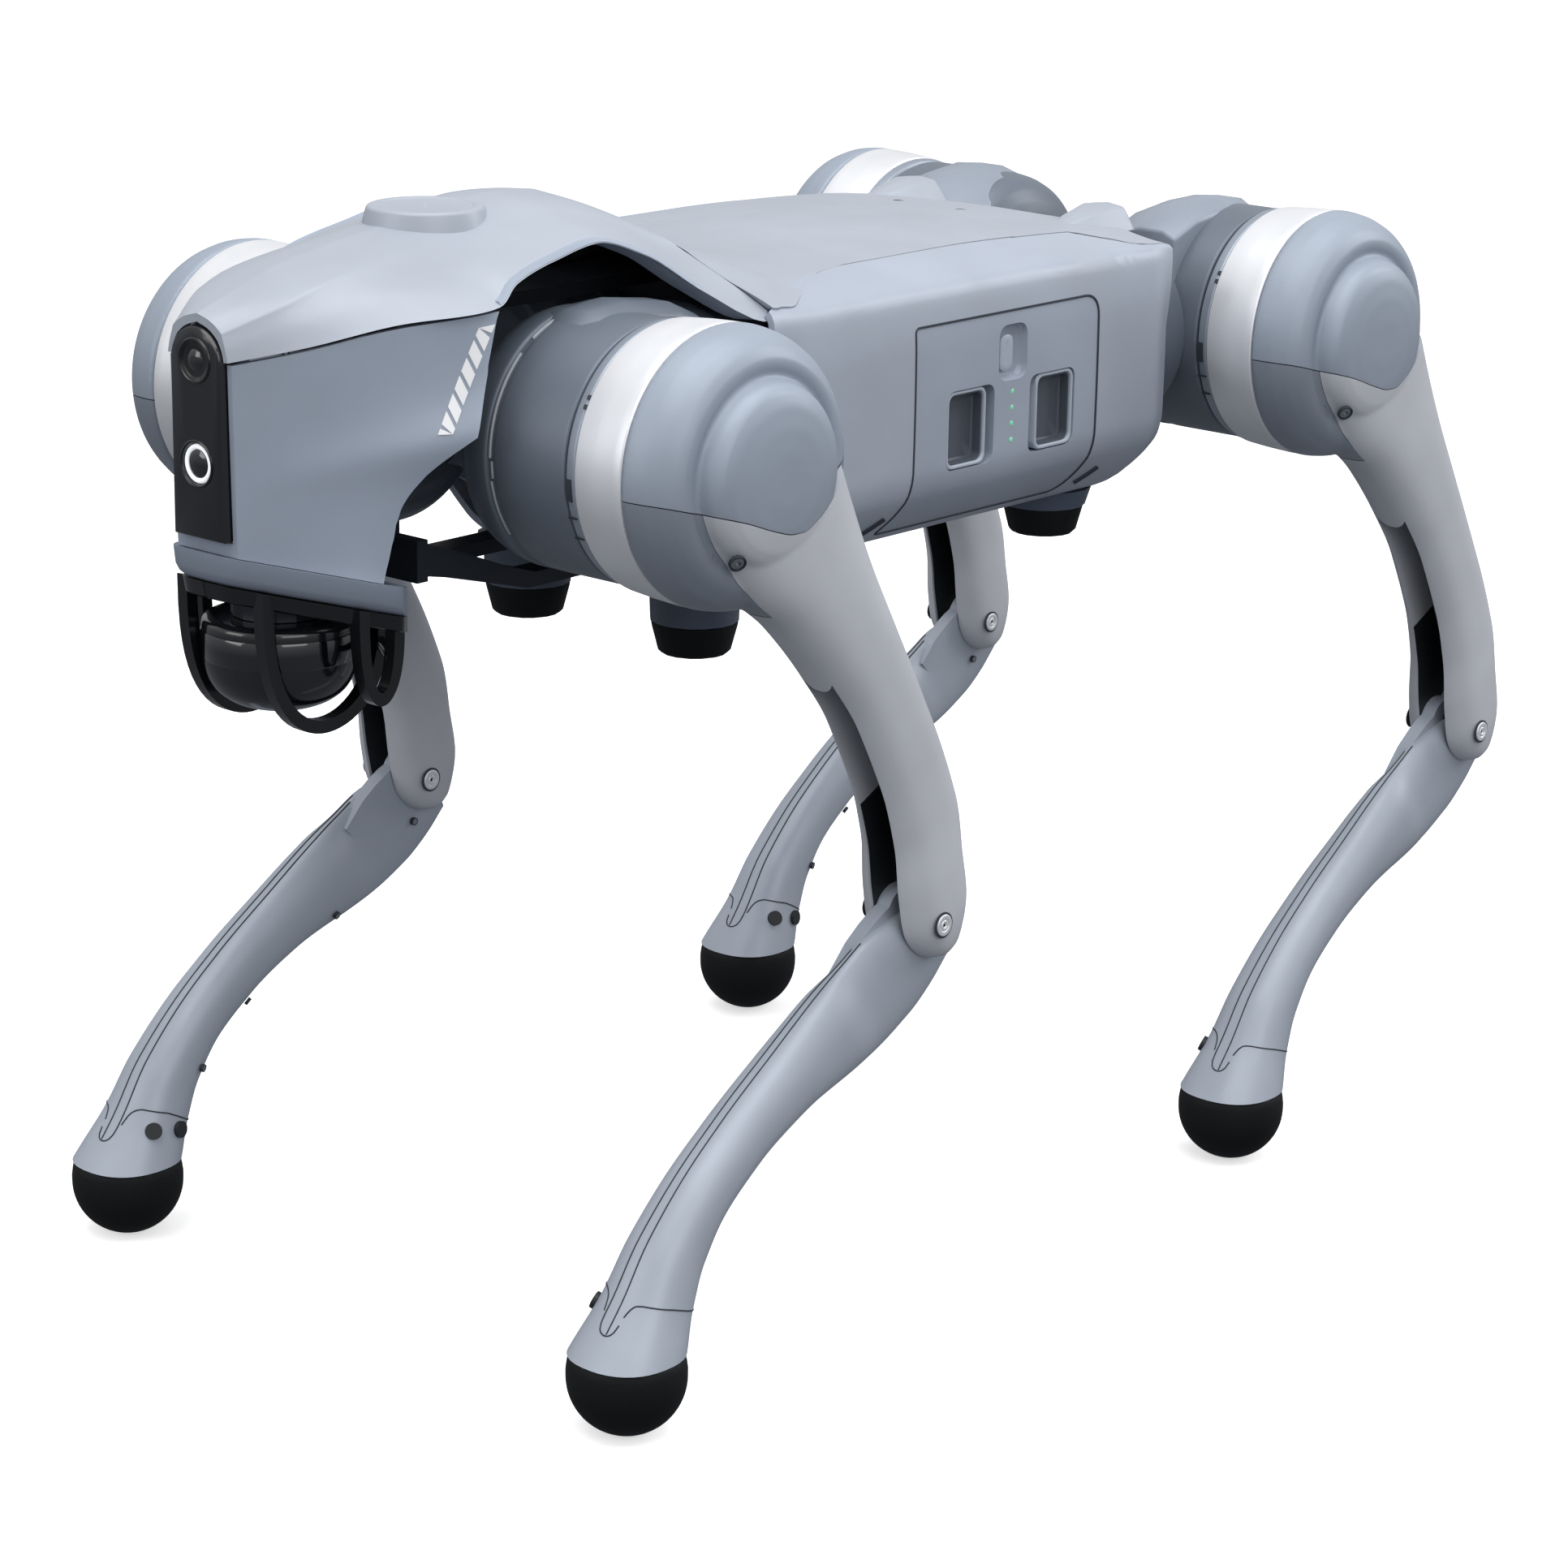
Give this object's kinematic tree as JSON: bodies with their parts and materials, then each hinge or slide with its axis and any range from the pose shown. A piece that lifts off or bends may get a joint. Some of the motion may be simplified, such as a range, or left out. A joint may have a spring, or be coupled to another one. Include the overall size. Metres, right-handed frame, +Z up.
{
  "type": "quadruped robot dog",
  "caption": "Four-legged walking robot with a sensor head, a slide-in battery pack and legs that roll, swing and bend at the knee.",
  "frame": {"origin": "on the floor under the middle of the standing robot", "axes": "+X towards the head, +Y to the robot's left, +Z up"},
  "size_m": [0.6455, 0.3298, 0.44],
  "materials": {
    "shell": "satin painted plastic, blue-grey",
    "thigh_plastic": "satin warm light grey",
    "calf_metal": "satin painted aluminium, light blue-grey",
    "dark_motor": "satin dark grey",
    "silver_motor": "fine turned aluminium",
    "rubber": "matt black rubber",
    "black_plastic": "gloss black",
    "dark_frame": "satin dark grey",
    "pad_plastic": "satin slate grey",
    "lens_glass": "coated black lens",
    "lamp_clear": "bright lamp in a mirror cup",
    "steel": "brushed steel",
    "circuit_board": "green circuit board"
  },
  "bodies": {
    "trunk": {"head_cover": "shell", "back_cover": "shell", "face_shell": "shell", "camera_panel": "black_plastic", "camera_lens": "lens_glass", "head_light": "lamp_clear", "chin_ring": "shell", "lidar_guard": "black_plastic", "trunk_shell": "shell", "chassis": "dark_frame", "belly_pad_front_left": "pad_plastic", "belly_pad_front_right": "pad_plastic", "belly_pad_rear_left": "pad_plastic", "belly_pad_rear_right": "pad_plastic", "main_board": "circuit_board", "front_left_hip_motor": "dark_motor", "front_right_hip_motor": "dark_motor", "rear_left_hip_motor": "dark_motor", "rear_right_hip_motor": "dark_motor"},
    "battery": {"battery_pack": "shell"},
    "latch_front": {"battery_latch_front": "pad_plastic"},
    "latch_rear": {"battery_latch_rear": "pad_plastic"},
    "button": {"power_button": "shell"},
    "lidar_rotor": {"lidar_rotor": "black_plastic"},
    "front_left_hip": {"front_left_hip_link": "dark_motor"},
    "front_left_thigh": {"front_left_thigh_shell": "thigh_plastic", "front_left_thigh_cap": "shell", "front_left_knee_motor": "silver_motor", "front_left_knee_pin": "steel"},
    "front_left_crank": {"front_left_knee_crank": "steel"},
    "front_left_rod": {"front_left_push_rod": "steel"},
    "front_left_calf": {"front_left_calf": "calf_metal", "front_left_foot": "rubber"},
    "front_right_hip": {"front_right_hip_link": "dark_motor"},
    "front_right_thigh": {"front_right_thigh_shell": "thigh_plastic", "front_right_thigh_cap": "shell", "front_right_knee_motor": "silver_motor", "front_right_knee_pin": "steel"},
    "front_right_crank": {"front_right_knee_crank": "steel"},
    "front_right_rod": {"front_right_push_rod": "steel"},
    "front_right_calf": {"front_right_calf": "calf_metal", "front_right_foot": "rubber"},
    "rear_left_hip": {"rear_left_hip_link": "dark_motor"},
    "rear_left_thigh": {"rear_left_thigh_shell": "thigh_plastic", "rear_left_thigh_cap": "shell", "rear_left_knee_motor": "silver_motor", "rear_left_knee_pin": "steel"},
    "rear_left_crank": {"rear_left_knee_crank": "steel"},
    "rear_left_rod": {"rear_left_push_rod": "steel"},
    "rear_left_calf": {"rear_left_calf": "calf_metal", "rear_left_foot": "rubber"},
    "rear_right_hip": {"rear_right_hip_link": "dark_motor"},
    "rear_right_thigh": {"rear_right_thigh_shell": "thigh_plastic", "rear_right_thigh_cap": "shell", "rear_right_knee_motor": "silver_motor", "rear_right_knee_pin": "steel"},
    "rear_right_crank": {"rear_right_knee_crank": "steel"},
    "rear_right_rod": {"rear_right_push_rod": "steel"},
    "rear_right_calf": {"rear_right_calf": "calf_metal", "rear_right_foot": "rubber"}
  },
  "joints": [
    {"name": "front_left_hip_roll", "type": "hinge", "parent": "trunk", "child": "front_left_hip", "pos_m": [0.1798, 0.0465, 0.35605], "axis": [1, 0, 0], "range_deg": [-40, 34]},
    {"name": "front_left_thigh_swing", "type": "hinge", "parent": "front_left_hip", "child": "front_left_thigh", "pos_m": [0.1798, 0.142, 0.35605], "axis": [0, 1, 0], "range_deg": [-116.5, 75]},
    {"name": "front_left_knee_bend", "type": "hinge", "parent": "front_left_thigh", "child": "front_left_calf", "pos_m": [0.08476, 0.142, 0.16542], "axis": [0, -1, 0], "range_deg": [-26.5, 74.5]},
    {"name": "front_left_crank_turn", "type": "hinge", "parent": "front_left_thigh", "child": "front_left_crank", "pos_m": [0.1798, 0.142, 0.35605], "axis": [0, -1, 0], "range_deg": [-26.5, 74.5]},
    {"name": "front_left_rod_turn", "type": "hinge", "parent": "front_left_crank", "child": "front_left_rod", "pos_m": [0.16717, 0.142, 0.36742], "axis": [0, -1, 0], "range_deg": [-74.5, 26.5]},
    {"name": "front_right_hip_roll", "type": "hinge", "parent": "trunk", "child": "front_right_hip", "pos_m": [0.1798, -0.0465, 0.35605], "axis": [1, 0, 0], "range_deg": [-34, 40]},
    {"name": "front_right_thigh_swing", "type": "hinge", "parent": "front_right_hip", "child": "front_right_thigh", "pos_m": [0.1798, -0.142, 0.35605], "axis": [0, 1, 0], "range_deg": [-116.5, 75]},
    {"name": "front_right_knee_bend", "type": "hinge", "parent": "front_right_thigh", "child": "front_right_calf", "pos_m": [0.08476, -0.142, 0.16542], "axis": [0, -1, 0], "range_deg": [-26.5, 74.5]},
    {"name": "front_right_crank_turn", "type": "hinge", "parent": "front_right_thigh", "child": "front_right_crank", "pos_m": [0.1798, -0.142, 0.35605], "axis": [0, -1, 0], "range_deg": [-26.5, 74.5]},
    {"name": "front_right_rod_turn", "type": "hinge", "parent": "front_right_crank", "child": "front_right_rod", "pos_m": [0.16717, -0.142, 0.36742], "axis": [0, -1, 0], "range_deg": [-74.5, 26.5]},
    {"name": "rear_left_hip_roll", "type": "hinge", "parent": "trunk", "child": "rear_left_hip", "pos_m": [-0.207, 0.0465, 0.35605], "axis": [1, 0, 0], "range_deg": [-40, 48]},
    {"name": "rear_left_thigh_swing", "type": "hinge", "parent": "rear_left_hip", "child": "rear_left_thigh", "pos_m": [-0.207, 0.142, 0.35605], "axis": [0, -1, 0], "range_deg": [-230, 35]},
    {"name": "rear_left_knee_bend", "type": "hinge", "parent": "rear_left_thigh", "child": "rear_left_calf", "pos_m": [-0.30204, 0.142, 0.16542], "axis": [0, -1, 0], "range_deg": [-26.5, 74.5]},
    {"name": "rear_left_crank_turn", "type": "hinge", "parent": "rear_left_thigh", "child": "rear_left_crank", "pos_m": [-0.207, 0.142, 0.35605], "axis": [0, -1, 0], "range_deg": [-26.5, 74.5]},
    {"name": "rear_left_rod_turn", "type": "hinge", "parent": "rear_left_crank", "child": "rear_left_rod", "pos_m": [-0.21963, 0.142, 0.36742], "axis": [0, -1, 0], "range_deg": [-74.5, 26.5]},
    {"name": "rear_right_hip_roll", "type": "hinge", "parent": "trunk", "child": "rear_right_hip", "pos_m": [-0.207, -0.0465, 0.35605], "axis": [1, 0, 0], "range_deg": [-48, 40]},
    {"name": "rear_right_thigh_swing", "type": "hinge", "parent": "rear_right_hip", "child": "rear_right_thigh", "pos_m": [-0.207, -0.142, 0.35605], "axis": [0, -1, 0], "range_deg": [-230, 35]},
    {"name": "rear_right_knee_bend", "type": "hinge", "parent": "rear_right_thigh", "child": "rear_right_calf", "pos_m": [-0.30204, -0.142, 0.16542], "axis": [0, -1, 0], "range_deg": [-26.5, 74.5]},
    {"name": "rear_right_crank_turn", "type": "hinge", "parent": "rear_right_thigh", "child": "rear_right_crank", "pos_m": [-0.207, -0.142, 0.35605], "axis": [0, -1, 0], "range_deg": [-26.5, 74.5]},
    {"name": "rear_right_rod_turn", "type": "hinge", "parent": "rear_right_crank", "child": "rear_right_rod", "pos_m": [-0.21963, -0.142, 0.36742], "axis": [0, -1, 0], "range_deg": [-74.5, 26.5]},
    {"name": "battery_slide", "type": "slide", "parent": "trunk", "child": "battery", "axis": [0, 1, 0], "range_m": [0, 0.12]},
    {"name": "latch_front_slide", "type": "slide", "parent": "battery", "child": "latch_front", "axis": [-1, 0, 0], "range_m": [0, 0.004], "stiffness_N_per_m": 400},
    {"name": "latch_rear_slide", "type": "slide", "parent": "battery", "child": "latch_rear", "axis": [1, 0, 0], "range_m": [0, 0.004], "stiffness_N_per_m": 400},
    {"name": "power_button_press", "type": "slide", "parent": "battery", "child": "button", "axis": [0, -1, 0], "range_m": [0, 0.0015], "stiffness_N_per_m": 600},
    {"name": "lidar_spin", "type": "hinge", "parent": "trunk", "child": "lidar_rotor", "pos_m": [0.2814, 0, 0.27905], "axis": [0, 0, 1], "continuous": true}
  ],
  "couplings": [
    {"joint": "front_left_crank_turn", "follows": "front_left_knee_bend", "ratio": 1},
    {"joint": "front_left_rod_turn", "follows": "front_left_knee_bend", "ratio": -1},
    {"joint": "front_right_crank_turn", "follows": "front_right_knee_bend", "ratio": 1},
    {"joint": "front_right_rod_turn", "follows": "front_right_knee_bend", "ratio": -1},
    {"joint": "rear_left_crank_turn", "follows": "rear_left_knee_bend", "ratio": 1},
    {"joint": "rear_left_rod_turn", "follows": "rear_left_knee_bend", "ratio": -1},
    {"joint": "rear_right_crank_turn", "follows": "rear_right_knee_bend", "ratio": 1},
    {"joint": "rear_right_rod_turn", "follows": "rear_right_knee_bend", "ratio": -1}
  ]
}
